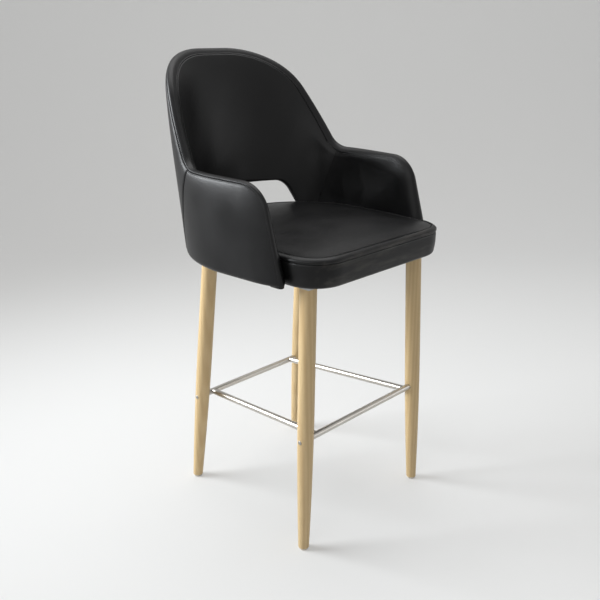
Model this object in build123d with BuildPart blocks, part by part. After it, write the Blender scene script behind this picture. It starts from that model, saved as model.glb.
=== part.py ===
"""Bar stool: padded tub back with arms, padded seat, four tapered legs and a tube footrest.

Millimetres. The floor is z = 0 and the origin is under the middle of the stool's width and depth.
The sitter faces -Y and the sitter's right is -X.
"""
import os
from math import atan, cos, hypot, pi, sin, sqrt, tan

from build123d import *

os.makedirs("parts", exist_ok=True)

# Shared clearances
gap = 0.3  # between layers and seated pieces
overrun = 40.0  # how far cutting solids and trimmed lofts run past

# Seat
stool_depth = 637.6  # from the front of the seat to the back of the rim, the origin in its middle
seat_seam_height = 731.0  # seam between the top panel and the border
seat_border_height = 55.0  # from the underside of the pan up to the seam
pan_thickness = 12.0
pan_front_setback = 10.0  # the pan's sides start this far behind the front of the tub's shell
pan_side_setback = 1.0  # from the shell's outer face in to the pan's edge
seat_crown = 17.0
seat_corner_radius = 84.0
seat_draw_in = 5.0  # how much narrower the seat is at the pan than at the seam
seat_edge_height = 9.0  # height of the top panel's edge over the seam at the seat's corners
seat_edge_roll = 8.0
border_thickness = 3.0
dust_cover_thickness = 1.0
dust_cover_inset = 6.0

# Tub wall in plan, measured to the middle of the wall at the seat seam
tub_half_width = 271.0
tub_depth = 282.0  # from the widest place back to the middle of the back
tub_squareness = 2.15  # 2 is a true ellipse
arm_draw_in = 8.5  # how much nearer the middle the arms' fronts are than the tub's widest place
arm_setback = 101.0  # from the seat's front back to the arms' fronts at the tub's lower edge
wall = 38.0
shell_thickness = 10.0
back_lean = 0.158  # run per rise at the middle of the back
side_lean = -0.017

# Rim of the tub, its top edge measured up from the seat's seam and lengths along the wall
arm_over_seat = 169.0
arm_climb = 4.0  # how much the arm climbs from its front corner to the back
back_over_seat = 434.0
arm_front_slope = 3.5  # rise per run of the arm's front edge
arm_corner_radius = 61.0
climb_from_widest = 133.7  # from the tub's widest place back to where the rim starts to climb
back_top_half_length = 148.1  # from the middle of the back to where the climb would end
arm_to_back_reach = 42.0  # how far the rounding at the foot of the climb reaches along the rim
back_corner_reach = 113.0  # the same at the head of the climb
panel_seam_from_widest = 141.7  # back to the seams between arm and back panels
panel_foot_radius = 9.0  # rounding of the outer panels' lower edge
inner_pad_lift = 17.0  # inner pads start this far above the pan, over the brackets
section_step = 16.0  # spacing of the loft sections along the rim
rim_sample_count = 1200
rim_round_points = 10

# Opening low in the back
sill_under_seam = 11.0  # from the seat's seam down to the opening's sill
opening_height = 85.0
opening_foot_half_width = 203.0
opening_head_half_width = 141.0
opening_widths_at = 64.0  # the two widths are taken this far in front of the middle of the back
opening_flare = 0.85  # sideways run per backward run of the opening's ends, square to the wall there
opening_head_radius = 70.0
opening_foot_radius = 9.0
opening_border_thickness = 2.0

# Legs
leg_top_diameter = 40.0
leg_foot_diameter = 26.0
leg_straight_from = 400.0  # the leg is a plain cylinder above this height
front_foot_setback = 60.5  # from the seat's front
front_top_setback = 69.5
front_foot_side_inset = 52.5  # in from the tub's widest place
front_top_side_inset = 76.0
rear_foot_inset = 51.5  # in from the middle of the back at the seam
rear_top_inset = 111.5
rear_foot_side_inset = 74.0
rear_top_side_inset = 101.0
glide_diameter = 22.0
glide_height = 5.0
glide_edge = 1.5
nail_diameter = 3.0
nail_length = 16.0
nail_head = 7.0
nail_head_height = 1.0
nail_head_depth = 1.4  # from the floor up to the nail's head
foot_edge = 1.2

# Leg plates and their fixings
plate_size = 62.0
plate_thickness = 4.0
plate_corner = 8.0
plate_screw_spacing = 46.0
hanger_diameter = 8.0
hanger_in_leg = 45.0
hanger_cover = 2.0  # wood left over the bolt's end in the pan
wood_screw_diameter = 4.0
wood_screw_head = 8.0
wood_screw_head_height = 2.4
wood_screw_bite = 9.0
upright_bite_share = 0.8  # of the shell's thickness

# Brackets between the tub shell and the pan
bracket_width = 18.0
bracket_leg = 13.0
bracket_sheet = 2.0
bracket_place_shares = (0.22, 0.5, 0.86)  # along each half of the wall

# Footrest
tube_diameter = 16.0
tube_wall = 1.5
footrest_front_height = 291.0
footrest_rear_height = 255.0
side_tube_inset = 37.2  # from the legs' axes in to the side tubes
screw_recess = 2.0  # depth of the head's counterbore in the leg
plug_length = 22.0
footrest_screw_diameter = 6.0
footrest_screw_head = 10.0
footrest_screw_head_height = 3.2

half_wall = wall / 2
half_shell = shell_thickness / 2
seat_underside = seat_seam_height - seat_border_height
pan_top = seat_underside + pan_thickness
tub_base = pan_top + gap
opening_sill = seat_seam_height - sill_under_seam
opening_head = opening_sill + opening_height
arm_mid_height = seat_seam_height + arm_over_seat - half_wall
back_mid_height = seat_seam_height + back_over_seat - half_wall
seat_front = -stool_depth / 2
back_middle_y = stool_depth / 2 - half_wall - (back_mid_height - seat_seam_height) * back_lean
tub_widest_y = back_middle_y - tub_depth
arm_front_y = seat_front + arm_setback
plate_top = seat_underside - dust_cover_thickness
leg_top = plate_top - plate_thickness


def export(builder, label):
    """Name a finished piece and write it."""
    builder.part.label = label
    export_step(builder.part, f"parts/{label}.step")


# The wall's line in plan, right half, from the arm reference line to the middle of the back
plan_run_in = 2 * overrun
arm_taper = arm_draw_in / (tub_widest_y - arm_front_y)
plan_start_y = arm_front_y - plan_run_in
plan_start_x = tub_half_width - arm_draw_in - arm_taper * plan_run_in
arc_points = 9

with BuildLine() as plan_right:
    arm_line = Line((-plan_start_x, plan_start_y), (-tub_half_width, tub_widest_y))
    round_points = []
    for i in range(arc_points + 1):
        turn = pi / 2 * i / arc_points
        round_points.append((-tub_half_width * cos(turn) ** (2 / tub_squareness),
                             tub_widest_y + tub_depth * sin(turn) ** (2 / tub_squareness)))
    Spline(*round_points, tangents=((0, 1), (1, 0)))
plan_wire = plan_right.wires()[0]
plan_length = plan_wire.length


def wall_place(run, side):
    """Plan point, outward normal and lean of the wall, a length along one half from its front."""
    share = min(max(run / plan_length, 0), 1)
    spot = plan_wire.position_at(share)
    along = plan_wire.tangent_at(share)
    normal = Vector(-along.Y, along.X).normalized()
    backward = max(normal.Y, 0)
    lean = back_lean * backward + side_lean * (1 - backward)
    return Vector(side * -spot.X, spot.Y), Vector(side * -normal.X, normal.Y), lean


def wall_plane(run, side):
    """Upright plane across the wall: local x points outward, local y is the height."""
    spot, normal, lean = wall_place(run, side)
    return Plane(origin=spot, x_dir=normal, z_dir=normal.cross(Vector(0, 0, 1)))


# The middle line of the rounded rim, unrolled: run along the wall against height
arm_front_run = plan_run_in + (arm_mid_height - arm_climb - tub_base) / arm_front_slope
climb_start = arm_line.length + climb_from_widest
climb_end = plan_length - back_top_half_length
arm_turn = atan(arm_climb / (climb_start - arm_front_run))
climb_turn = atan((back_mid_height - arm_mid_height) / (climb_end - climb_start))
arm_to_back_radius = arm_to_back_reach / tan((climb_turn - arm_turn) / 2)
back_corner_radius = back_corner_reach / tan(climb_turn / 2)
front_dip = arm_mid_height - tub_base + 3 * overrun
with BuildLine() as rim_line:
    FilletPolyline(
        (arm_front_run - front_dip / arm_front_slope, arm_mid_height - arm_climb - front_dip),
        (arm_front_run, arm_mid_height - arm_climb),
        (climb_start, arm_mid_height),
        (climb_end, back_mid_height),
        (plan_length, back_mid_height),
        radius=(arm_corner_radius, arm_to_back_radius, back_corner_radius),
    )
rim_wire = rim_line.wires()[0]


def share_where(wire, reading, value):
    """Share of a wire's length where a reading of its points, which only grows, reaches a value."""
    low, high = 0.0, 1.0
    for _ in range(30):
        middle = (low + high) / 2
        if reading(wire.position_at(middle)) < value:
            low = middle
        else:
            high = middle
    return low


def rim_places(start_share, end_share, side):
    """Stations along the rim on one side: run, height of the rim's middle line, slope, side."""
    steps = max(3, round((end_share - start_share) * rim_wire.length / section_step))
    places = []
    for i in range(steps + 1):
        share = start_share + (end_share - start_share) * i / steps
        spot = rim_wire.position_at(share)
        along = rim_wire.tangent_at(share)
        places.append((spot.X, spot.Y, along.Y / along.X, side))
    return places


panel_seam_run = arm_line.length + panel_seam_from_widest
seam_share = share_where(rim_wire, lambda spot: spot.X, panel_seam_run)
arm_places_right = rim_places(0, seam_share, -1)
arm_places_left = rim_places(0, seam_share, 1)[::-1]
back_places = rim_places(seam_share, 1, -1) + rim_places(seam_share, 1, 1)[-2::-1]


def wall_layer(places, inner, outer, bottom, foot_radius=0):
    """Loft of leaning upright strips between two depths of the wall, up to the rim's middle line."""
    with BuildPart() as layer:
        for run, mid_height, _, side in places:
            lean = wall_place(run, side)[2]
            low_shift = (bottom - seat_seam_height) * lean
            top_shift = (mid_height - seat_seam_height) * lean
            with BuildSketch(wall_plane(run, side)):
                with BuildLine():
                    Polyline((outer + low_shift, bottom + foot_radius), (outer + top_shift, mid_height),
                             (inner + top_shift, mid_height), (inner + low_shift, bottom),
                             (outer + low_shift - foot_radius, bottom))
                    if foot_radius:
                        JernArc(start=(outer + low_shift - foot_radius, bottom), tangent=(1, 0),
                                radius=foot_radius, arc_size=90)
                make_face()
        loft(ruled=True)
    return layer.part


rim_samples = [rim_wire.position_at(i / rim_sample_count) for i in range(rim_sample_count + 1)]


def rim_top(run, reach):
    """Height over a place on the wall of a surface that keeps its reach from the rim's middle line."""
    near = [spot for spot in rim_samples if abs(run - spot.X) <= reach]
    return max(spot.Y + sqrt(reach ** 2 - (run - spot.X) ** 2) for spot in near)


def rim_layer(places):
    """Loft of the rounded rim: its half round section across the wall at each station."""
    with BuildPart() as layer:
        for run, mid_height, slope, side in places:
            lean = wall_place(run, side)[2]
            shift = (mid_height - seat_seam_height) * lean
            foot = mid_height + gap * hypot(1, slope)
            round_points = [(shift + half_wall, foot)]
            for i in range(1, rim_round_points):
                turn = pi * i / rim_round_points
                height = rim_top(run, half_wall * sin(turn))
                round_points.append((shift + half_wall * cos(turn), max(height, foot + gap)))
            round_points.append((shift - half_wall, foot))
            with BuildSketch(wall_plane(run, side)):
                with BuildLine():
                    Spline(*round_points, tangents=((0, 1), (0, -1)))
                    Line(round_points[-1], round_points[0])
                make_face()
        loft(ruled=True)
    return layer.part


def opening_face(backward, widen):
    """Outline of the arched opening in an upright plane, some way behind where its widths are taken."""
    flared = opening_flare * backward
    foot_x, head_x = opening_foot_half_width + flared, opening_head_half_width + flared
    with BuildSketch(Plane.XZ.offset(opening_widths_at - back_middle_y - backward)) as outline:
        with BuildLine():
            Polyline((-foot_x, opening_sill), (foot_x, opening_sill), (head_x, opening_head),
                     (-head_x, opening_head), close=True)
        make_face()
        fillet(vertices().group_by(Axis.Y)[-1], radius=opening_head_radius)
        fillet(vertices().group_by(Axis.Y)[0], radius=opening_foot_radius)
        if widen:
            offset(amount=widen)
    return outline.sketch


def opening_prism(widen):
    """The arched opening, run backwards through the wall and widened on all sides."""
    with BuildPart() as prism:
        add(opening_face(-overrun, widen))
        add(opening_face(opening_widths_at + wall + overrun, widen))
        loft(ruled=True)
    return prism.part


def upholstered_arm(places, inner, outer, bottom):
    """One arm's layer, cut level at its lower edge."""
    with BuildPart() as arm:
        add(wall_layer(places, inner, outer, tub_base - 3 * overrun))
        split(bisect_by=Plane.XY.offset(bottom), keep=Keep.TOP)
    return arm.part


# Outlines of the seat and its pan
pan_side_run = plan_run_in + pan_front_setback  # where the pan's sides start along the wall
outline_points = 10


def wall_curve(depth, height, front_run):
    """Points along the wall from the right arm round to the left, at one depth and height."""
    points = []
    for side in (-1, 1):
        half = []
        for i in range(outline_points + 1):
            run = front_run + (plan_length - front_run) * i / outline_points
            spot, normal, lean = wall_place(run, side)
            place = spot + normal * (depth + (height - seat_seam_height) * lean)
            half.append((place.X, place.Y))
        points += half if side < 0 else half[-2::-1]
    return points


def seat_face(inset, height):
    """Face of the seat's outline at a height, drawn in by an inset."""
    points = wall_curve(-half_wall - gap - inset, height, plan_run_in)
    front_y = seat_front + inset
    corner_radius = min(seat_corner_radius - inset, points[0][1] - front_y - gap)
    with BuildSketch(Plane.XY.offset(height)) as outline:
        with BuildLine():
            Spline(*points)
            Polyline(points[-1], (points[-1][0], front_y), (points[0][0], front_y), points[0])
        make_face()
        fillet(vertices().group_by(Axis.Y)[0], radius=corner_radius)
    return outline.sketch


def seat_block(inset, low, high):
    """Seat body between two heights, narrower towards the pan."""
    with BuildPart() as block:
        for height in (low, high):
            drawn_in = seat_draw_in * (seat_seam_height - height) / seat_border_height
            add(seat_face(inset + drawn_in, height))
        loft()
    return block.part


# Places and directions of the legs
front_foot = (tub_half_width - front_foot_side_inset, seat_front + front_foot_setback)
front_top = (tub_half_width - front_top_side_inset, seat_front + front_top_setback)
rear_foot = (tub_half_width - rear_foot_side_inset, back_middle_y - rear_foot_inset)
rear_top = (tub_half_width - rear_top_side_inset, back_middle_y - rear_top_inset)
leg_feet = {}
leg_tops = {}
for end, foot, top in (("front", front_foot, front_top), ("rear", rear_foot, rear_top)):
    for side, way in (("right", -1), ("left", 1)):
        leg_feet[f"{end}_{side}"] = (way * foot[0], foot[1])
        leg_tops[f"{end}_{side}"] = (way * top[0], top[1])


def leg_point(corner, height):
    """Point of a leg's axis at a height."""
    foot_x, foot_y = leg_feet[corner]
    top_x, top_y = leg_tops[corner]
    share = height / leg_top
    return Vector(foot_x + (top_x - foot_x) * share, foot_y + (top_y - foot_y) * share, height)


def leg_plane(corner, height):
    """Plane square to a leg's axis, at a height."""
    return Plane(origin=leg_point(corner, height), x_dir=(1, 1, 0),
                 z_dir=leg_point(corner, leg_top) - leg_point(corner, 0))


def leg_radius_at(height):
    """Leg's radius at a height: it swells as a parabola from the foot to the straight part."""
    left = 1 - min(height / leg_straight_from, 1)
    return (leg_top_diameter - (leg_top_diameter - leg_foot_diameter) * left ** 2) / 2


def leg_form(corner):
    """Turned leg, straight above and tapered to the foot."""
    with BuildPart() as form:
        with BuildSketch(Plane.XZ):
            with BuildLine():
                Bezier((leg_foot_diameter / 2, 0), (leg_top_diameter / 2, leg_straight_from / 2),
                       (leg_top_diameter / 2, leg_straight_from))
                Polyline((leg_top_diameter / 2, leg_straight_from),
                         (leg_top_diameter / 2, leg_top + overrun),
                         (0, leg_top + overrun), (0, 0), (leg_foot_diameter / 2, 0))
            make_face()
        revolve(axis=Axis.Z)
    return leg_plane(corner, 0) * form.part


def rod(plane, diameter, low, high, bore=0.0):
    """Round bar or tube along a plane's normal."""
    with BuildPart() as bar:
        with BuildSketch(plane.offset(low)):
            Circle(diameter / 2)
            if bore:
                Circle(bore / 2, mode=Mode.SUBTRACT)
        extrude(amount=high - low)
    return bar.part


def headed_screw(plane, shank, length, head, head_height):
    """Screw whose head rests on the plane, with its shank running down through it."""
    with BuildPart() as screw:
        with BuildSketch(plane):
            Circle(head / 2)
        extrude(amount=head_height)
        chamfer(screw.faces().sort_by(Axis(plane.origin, plane.z_dir))[-1].edges(), head_height / 3)
        with BuildSketch(plane):
            Circle(shank / 2)
        extrude(amount=-length)
    return screw.part


# Seat pan and dust cover
def pan_sketch(height, inset):
    """Plan of the pan: under the tub's shell behind, inside the seat's border in front."""
    points = wall_curve(half_shell - pan_side_setback - inset, height, pan_side_run + inset)
    front_inset = seat_draw_in + border_thickness + gap + inset
    with BuildSketch(Plane.XY.offset(height)) as plan:
        with BuildLine():
            Spline(*points)
            Line(points[-1], points[0])
        make_face()
        add(seat_face(front_inset, height))
    return plan.sketch


def hanger_rod(corner, widen):
    """Hanger bolt's body, from inside the leg up into the pan."""
    axis_plane = leg_plane(corner, leg_top)
    with BuildPart() as bolt:
        add(rod(axis_plane, hanger_diameter + 2 * widen, -hanger_in_leg - widen, 2 * pan_thickness))
        split(bisect_by=Plane.XY.offset(pan_top - hanger_cover + widen), keep=Keep.BOTTOM)
    return bolt.part


def plate_screw_planes(corner):
    """Planes under a leg plate where its screws sit, facing down."""
    centre = leg_point(corner, leg_top)
    half = plate_screw_spacing / 2
    return [Plane(origin=(centre.X + half * i, centre.Y + half * j, leg_top), z_dir=(0, 0, -1))
            for i in (-1, 1) for j in (-1, 1)]


plate_screw_length = plate_thickness + dust_cover_thickness + wood_screw_bite
plate_screw_places = [plane for corner in leg_feet for plane in plate_screw_planes(corner)]

# Brackets: where each one stands and which way its screws go
bracket_runs = [share * plan_length for share in bracket_place_shares]
bracket_stations = [(run, side) for side in (-1, 1) for run in bracket_runs]


def wall_bow(run, side):
    """How far the wall curves in from its tangent over half a bracket and half a section step."""
    spot, normal, _ = wall_place(run, side)
    reach = (bracket_width + section_step) / 2
    ends = [wall_place(run + step, side)[0] - spot for step in (-reach, reach)]
    return max(0, *[-end.dot(normal) for end in ends])


def bracket_lines(run, side):
    """Foot of the bracket's outer face in the wall's own plane, the face's slope, and its top."""
    lean = wall_place(run, side)[2]
    foot = -half_shell - gap - wall_bow(run, side) + (pan_top - seat_seam_height) * lean
    return foot, lean, pan_top + bracket_leg + bracket_sheet


def bracket_solid(run, side):
    """Angle bracket with its upright leaning along the shell."""
    foot, lean, top = bracket_lines(run, side)
    rise = top - pan_top
    with BuildPart() as bracket:
        with BuildSketch(wall_plane(run, side)):
            with BuildLine():
                Polyline((foot, pan_top), (foot + rise * lean, top),
                         (foot + rise * lean - bracket_sheet, top),
                         (foot + bracket_sheet * lean - bracket_sheet, pan_top + bracket_sheet),
                         (foot - bracket_leg, pan_top + bracket_sheet), (foot - bracket_leg, pan_top),
                         close=True)
            make_face()
        extrude(amount=bracket_width / 2, both=True)
    return bracket.part


def bracket_screw_planes(run, side):
    """Where the bracket's two screws sit: one on its foot, one on its upright."""
    foot, lean, top = bracket_lines(run, side)
    wall = wall_plane(run, side)
    foot_middle = foot - (bracket_leg + bracket_sheet) / 2
    upright_middle = (pan_top + top + bracket_sheet) / 2
    upright_face = foot - bracket_sheet + (upright_middle - pan_top) * lean
    on_foot = wall.from_local_coords(Vector(foot_middle, pan_top + bracket_sheet, 0))
    on_upright = wall.from_local_coords(Vector(upright_face, upright_middle, 0))
    inward = Vector(0, 0, 1) * lean - wall.x_dir
    return Plane(origin=on_foot, z_dir=(0, 0, 1)), Plane(origin=on_upright, z_dir=inward)


foot_screw_planes = [bracket_screw_planes(*station)[0] for station in bracket_stations]
upright_screw_planes = [bracket_screw_planes(*station)[1] for station in bracket_stations]
foot_screw_length = bracket_sheet + wood_screw_bite
upright_screw_length = bracket_sheet + gap + shell_thickness * upright_bite_share

# Bent plywood shell inside the wall
with BuildPart() as tub_shell:
    for places in (arm_places_right, back_places, arm_places_left):
        add(wall_layer(places, -half_shell, half_shell, tub_base - 3 * overrun))
    split(bisect_by=Plane.XY.offset(tub_base), keep=Keep.TOP)
    add(opening_prism(gap), mode=Mode.SUBTRACT)
    for plane in upright_screw_planes:
        add(rod(plane, wood_screw_diameter, -upright_screw_length, 0), mode=Mode.SUBTRACT)
export(tub_shell, "tub_shell")

# Padded panels on the outside
outer_layer = (half_shell + gap, half_wall)
with BuildPart() as outer_back_panel:
    add(wall_layer(back_places, *outer_layer, seat_underside, panel_foot_radius))
    add(opening_prism(gap), mode=Mode.SUBTRACT)
with BuildPart() as outer_arm_panel_right:
    add(upholstered_arm(arm_places_right, *outer_layer, seat_underside))
with BuildPart() as outer_arm_panel_left:
    add(upholstered_arm(arm_places_left, *outer_layer, seat_underside))

# Padded panels on the inside, over the brackets
inner_layer = (-half_wall, -half_shell - gap)
inner_pad_base = pan_top + inner_pad_lift
with BuildPart() as inner_back_pad:
    add(wall_layer(back_places, *inner_layer, inner_pad_base))
    add(opening_prism(gap), mode=Mode.SUBTRACT)
with BuildPart() as inner_arm_pad_right:
    add(upholstered_arm(arm_places_right, *inner_layer, inner_pad_base))
with BuildPart() as inner_arm_pad_left:
    add(upholstered_arm(arm_places_left, *inner_layer, inner_pad_base))

# Rounded border sewn along the whole rim
with BuildPart() as rim_border:
    for places in (arm_places_right, back_places, arm_places_left):
        add(rim_layer(places))
    split(bisect_by=Plane.XY.offset(seat_underside), keep=Keep.TOP)

# Strip that lines the opening
with BuildPart() as opening_border:
    add(wall_layer(back_places, -half_wall, half_wall, tub_base))
    add(opening_prism(0), mode=Mode.INTERSECT)
    add(opening_prism(-opening_border_thickness), mode=Mode.SUBTRACT)

export(outer_back_panel, "outer_back_panel")
export(outer_arm_panel_right, "outer_arm_panel_right")
export(outer_arm_panel_left, "outer_arm_panel_left")
export(inner_back_pad, "inner_back_pad")
export(inner_arm_pad_right, "inner_arm_pad_right")
export(inner_arm_pad_left, "inner_arm_pad_left")
export(rim_border, "rim_border")
export(opening_border, "opening_border")

# Seat
with BuildPart() as seat_foam:
    add(seat_block(border_thickness + gap, pan_top + gap, seat_seam_height))

with BuildPart() as seat_border:
    add(seat_block(0, seat_underside, seat_seam_height))
    add(seat_block(border_thickness, seat_underside, seat_seam_height), mode=Mode.SUBTRACT)
    with BuildSketch(Plane.XY.offset(pan_top + gap)):
        with Locations((0, wall_place(pan_side_run, 1)[0].Y - pan_front_setback)):
            Rectangle(4 * tub_half_width, 4 * tub_depth, align=(Align.CENTER, Align.MIN))
    extrude(amount=-2 * pan_thickness, mode=Mode.SUBTRACT)

# Crowned top panel with a rolled edge
crown_drop = seat_crown - seat_edge_height
seat_half_depth = (back_middle_y - half_wall - seat_front) / 2
corner_way = hypot(seat_half_depth - seat_corner_radius, tub_half_width - half_wall - seat_corner_radius)
corner_reach = corner_way + seat_corner_radius  # from the seat's middle to its farthest edge
crown_radius = (corner_reach ** 2 + crown_drop ** 2) / (2 * crown_drop)
with BuildPart() as seat_top_panel:
    add(seat_face(0, seat_seam_height + gap))
    extrude(amount=seat_crown)
    with Locations((0, seat_front + seat_half_depth, seat_seam_height + seat_crown - crown_radius)):
        Sphere(crown_radius, mode=Mode.INTERSECT)
    fillet(seat_top_panel.faces().sort_by(Axis.Z)[-1].edges(), radius=seat_edge_roll)

export(seat_foam, "seat_foam")
export(seat_border, "seat_border")
export(seat_top_panel, "seat_top_panel")

# Pan, cover, brackets and their screws
with BuildPart() as seat_pan:
    add(pan_sketch(seat_underside, 0))
    extrude(amount=pan_thickness)
    for corner in leg_feet:
        add(hanger_rod(corner, gap), mode=Mode.SUBTRACT)
    for plane in plate_screw_places:
        add(rod(plane, wood_screw_diameter, -plate_screw_length, 0), mode=Mode.SUBTRACT)
    for plane in foot_screw_planes:
        add(rod(plane, wood_screw_diameter, -foot_screw_length, 0), mode=Mode.SUBTRACT)

with BuildPart() as dust_cover:
    add(pan_sketch(plate_top, dust_cover_inset))
    extrude(amount=dust_cover_thickness)
    for corner in leg_feet:
        add(hanger_rod(corner, gap), mode=Mode.SUBTRACT)
    for plane in plate_screw_places:
        add(rod(plane, wood_screw_diameter, -plate_screw_length, 0), mode=Mode.SUBTRACT)

with BuildPart() as shell_brackets:
    for run, side in bracket_stations:
        add(bracket_solid(run, side))
    for plane in foot_screw_planes:
        add(rod(plane, wood_screw_diameter, -foot_screw_length, 0), mode=Mode.SUBTRACT)
    for plane in upright_screw_planes:
        add(rod(plane, wood_screw_diameter, -upright_screw_length, 0), mode=Mode.SUBTRACT)

with BuildPart() as bracket_screws:
    for plane in foot_screw_planes:
        add(headed_screw(plane, wood_screw_diameter, foot_screw_length, wood_screw_head,
                         wood_screw_head_height))
    for plane in upright_screw_planes:
        add(headed_screw(plane, wood_screw_diameter, upright_screw_length, wood_screw_head,
                         wood_screw_head_height))

export(seat_pan, "seat_pan")
export(dust_cover, "dust_cover")
export(shell_brackets, "shell_brackets")
export(bracket_screws, "bracket_screws")

# Leg plates with their screws and the hanger bolts
for corner in leg_feet:
    centre = leg_point(corner, leg_top)
    with BuildPart() as leg_plate:
        with BuildSketch(Plane.XY.offset(leg_top)):
            with Locations((centre.X, centre.Y)):
                RectangleRounded(plate_size, plate_size, plate_corner)
        extrude(amount=plate_thickness)
        add(hanger_rod(corner, gap), mode=Mode.SUBTRACT)
        for plane in plate_screw_planes(corner):
            add(rod(plane, wood_screw_diameter, -plate_screw_length, 0), mode=Mode.SUBTRACT)
    export(leg_plate, f"leg_plate_{corner}")

with BuildPart() as leg_plate_screws:
    for plane in plate_screw_places:
        add(headed_screw(plane, wood_screw_diameter, plate_screw_length, wood_screw_head,
                         wood_screw_head_height))
export(leg_plate_screws, "leg_plate_screws")

with BuildPart() as hanger_bolts:
    for corner in leg_feet:
        add(hanger_rod(corner, 0))
export(hanger_bolts, "hanger_bolts")

# Footrest: cross tubes between the legs, side tubes between the cross tubes
cross_tubes = {"front": footrest_front_height, "rear": footrest_rear_height}
tube_bore = tube_diameter - 2 * tube_wall
cross_screw_planes = {}
for end, height in cross_tubes.items():
    for side, way in (("right", -1), ("left", 1)):
        spot = leg_point(f"{end}_{side}", height)
        head_seat = abs(spot.X) + leg_radius_at(height) - screw_recess
        cross_screw_planes[f"{end}_{side}"] = Plane(origin=(way * head_seat, spot.Y, height),
                                                    z_dir=(way, 0, 0))


def cross_plane(end):
    """Plane across the stool's middle, square to a cross tube."""
    spot = leg_point(f"{end}_right", cross_tubes[end])
    return Plane(origin=(0, spot.Y, spot.Z), x_dir=(0, 1, 1), z_dir=(1, 0, 0))


def leg_clearance(corner):
    """Round space that a leg takes where a cross tube meets it."""
    height = cross_tubes[corner.split("_")[0]]
    clear_diameter = 2 * leg_radius_at(height) + 2 * gap
    return rod(leg_plane(corner, height), clear_diameter, -tube_diameter, tube_diameter)


def cross_bar(end, diameter, bore=0.0):
    """Straight bar from leg to leg, its ends fitted to the legs."""
    reach = abs(leg_point(f"{end}_right", cross_tubes[end]).X)
    with BuildPart() as bar:
        add(rod(cross_plane(end), diameter, -reach, reach, bore))
        for side in ("right", "left"):
            add(leg_clearance(f"{end}_{side}"), mode=Mode.SUBTRACT)
    return bar.part


def screw_shank(corner):
    """Shank of a footrest screw, from its head to the inner end of the plug."""
    height = cross_tubes[corner.split("_")[0]]
    length = 2 * leg_radius_at(height) + plug_length - screw_recess
    return rod(cross_screw_planes[corner], footrest_screw_diameter, -length, 0)


def plug_rod(corner):
    """Threaded plug in one end of a cross tube, from inside the tube to the leg."""
    end = corner.split("_")[0]
    height = cross_tubes[end]
    centre = leg_point(corner, height)
    leg_centre = Plane(origin=centre, z_dir=(-centre.X, 0, 0))
    with BuildPart() as plug:
        add(rod(leg_centre, tube_bore, 0, leg_radius_at(height) + plug_length))
        add(leg_clearance(corner), mode=Mode.SUBTRACT)
        add(screw_shank(corner), mode=Mode.SUBTRACT)
    return plug.part


# Glides and their nails
def glide_plane(corner):
    """Level plane where a leg's cut foot rests on its glide."""
    spot = leg_point(corner, glide_height)
    return Plane.XY.offset(glide_height).shift_origin((spot.X, spot.Y, glide_height))


def glide_nail(corner):
    """Nail with its head let into the underside of the glide."""
    head_plane = glide_plane(corner).offset(nail_head_height + nail_head_depth - glide_height)
    with BuildPart() as nail:
        add(rod(head_plane, nail_head, -nail_head_height, 0))
        add(rod(head_plane, nail_diameter, 0, nail_length))
    return nail.part


for corner in leg_feet:
    with BuildPart() as glide:
        with BuildSketch(glide_plane(corner)):
            Circle(glide_diameter / 2)
        extrude(amount=-glide_height)
        fillet(glide.faces().sort_by(Axis.Z)[0].edges(), radius=glide_edge)
        head_plane = glide_plane(corner).offset(nail_head_height + nail_head_depth - glide_height)
        add(rod(head_plane, nail_head + 2 * gap, -2 * glide_height, 0), mode=Mode.SUBTRACT)
        add(rod(head_plane, nail_diameter, 0, glide_height), mode=Mode.SUBTRACT)
    export(glide, f"glide_{corner}")

with BuildPart() as glide_nails:
    for corner in leg_feet:
        add(glide_nail(corner))
export(glide_nails, "glide_nails")

# Legs, bored for the hanger bolts, the footrest screws and the nails
for corner in leg_feet:
    with BuildPart() as leg:
        add(leg_form(corner))
        split(bisect_by=Plane.XY.offset(leg_top), keep=Keep.BOTTOM)
        split(bisect_by=Plane.XY.offset(glide_height), keep=Keep.TOP)
        chamfer(leg.faces().sort_by(Axis.Z)[0].edges(), foot_edge)
        add(hanger_rod(corner, 0), mode=Mode.SUBTRACT)
        add(rod(cross_screw_planes[corner], footrest_screw_head + 2 * gap, 0, leg_top_diameter),
            mode=Mode.SUBTRACT)
        add(screw_shank(corner), mode=Mode.SUBTRACT)
        add(glide_nail(corner), mode=Mode.SUBTRACT)
    export(leg, f"leg_{corner}")

# Cross tubes, side tubes, plugs and screws of the footrest
for end in cross_tubes:
    with BuildPart() as cross_tube:
        add(cross_bar(end, tube_diameter, tube_bore))
    export(cross_tube, f"footrest_{end}_tube")

for side, way in (("right", -1), ("left", 1)):
    tube_ends = []
    for end, height in cross_tubes.items():
        tube_ends.append(leg_point(f"{end}_{side}", height) - Vector(way * side_tube_inset, 0, 0))
    front_end, rear_end = tube_ends
    with BuildPart() as side_tube:
        add(rod(Plane(origin=front_end, z_dir=rear_end - front_end), tube_diameter, 0,
                (rear_end - front_end).length, tube_bore))
        for end in cross_tubes:
            add(cross_bar(end, tube_diameter + 2 * gap), mode=Mode.SUBTRACT)
    export(side_tube, f"footrest_side_tube_{side}")

with BuildPart() as footrest_plugs:
    for corner in leg_feet:
        add(plug_rod(corner))
export(footrest_plugs, "footrest_plugs")

with BuildPart() as footrest_screws:
    for corner in leg_feet:
        add(screw_shank(corner))
        add(headed_screw(cross_screw_planes[corner], footrest_screw_diameter, footrest_screw_diameter,
                         footrest_screw_head, footrest_screw_head_height))
export(footrest_screws, "footrest_screws")
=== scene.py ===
import math

import bmesh
import bpy
import numpy as np
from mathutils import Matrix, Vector
from mathutils.kdtree import KDTree


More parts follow.
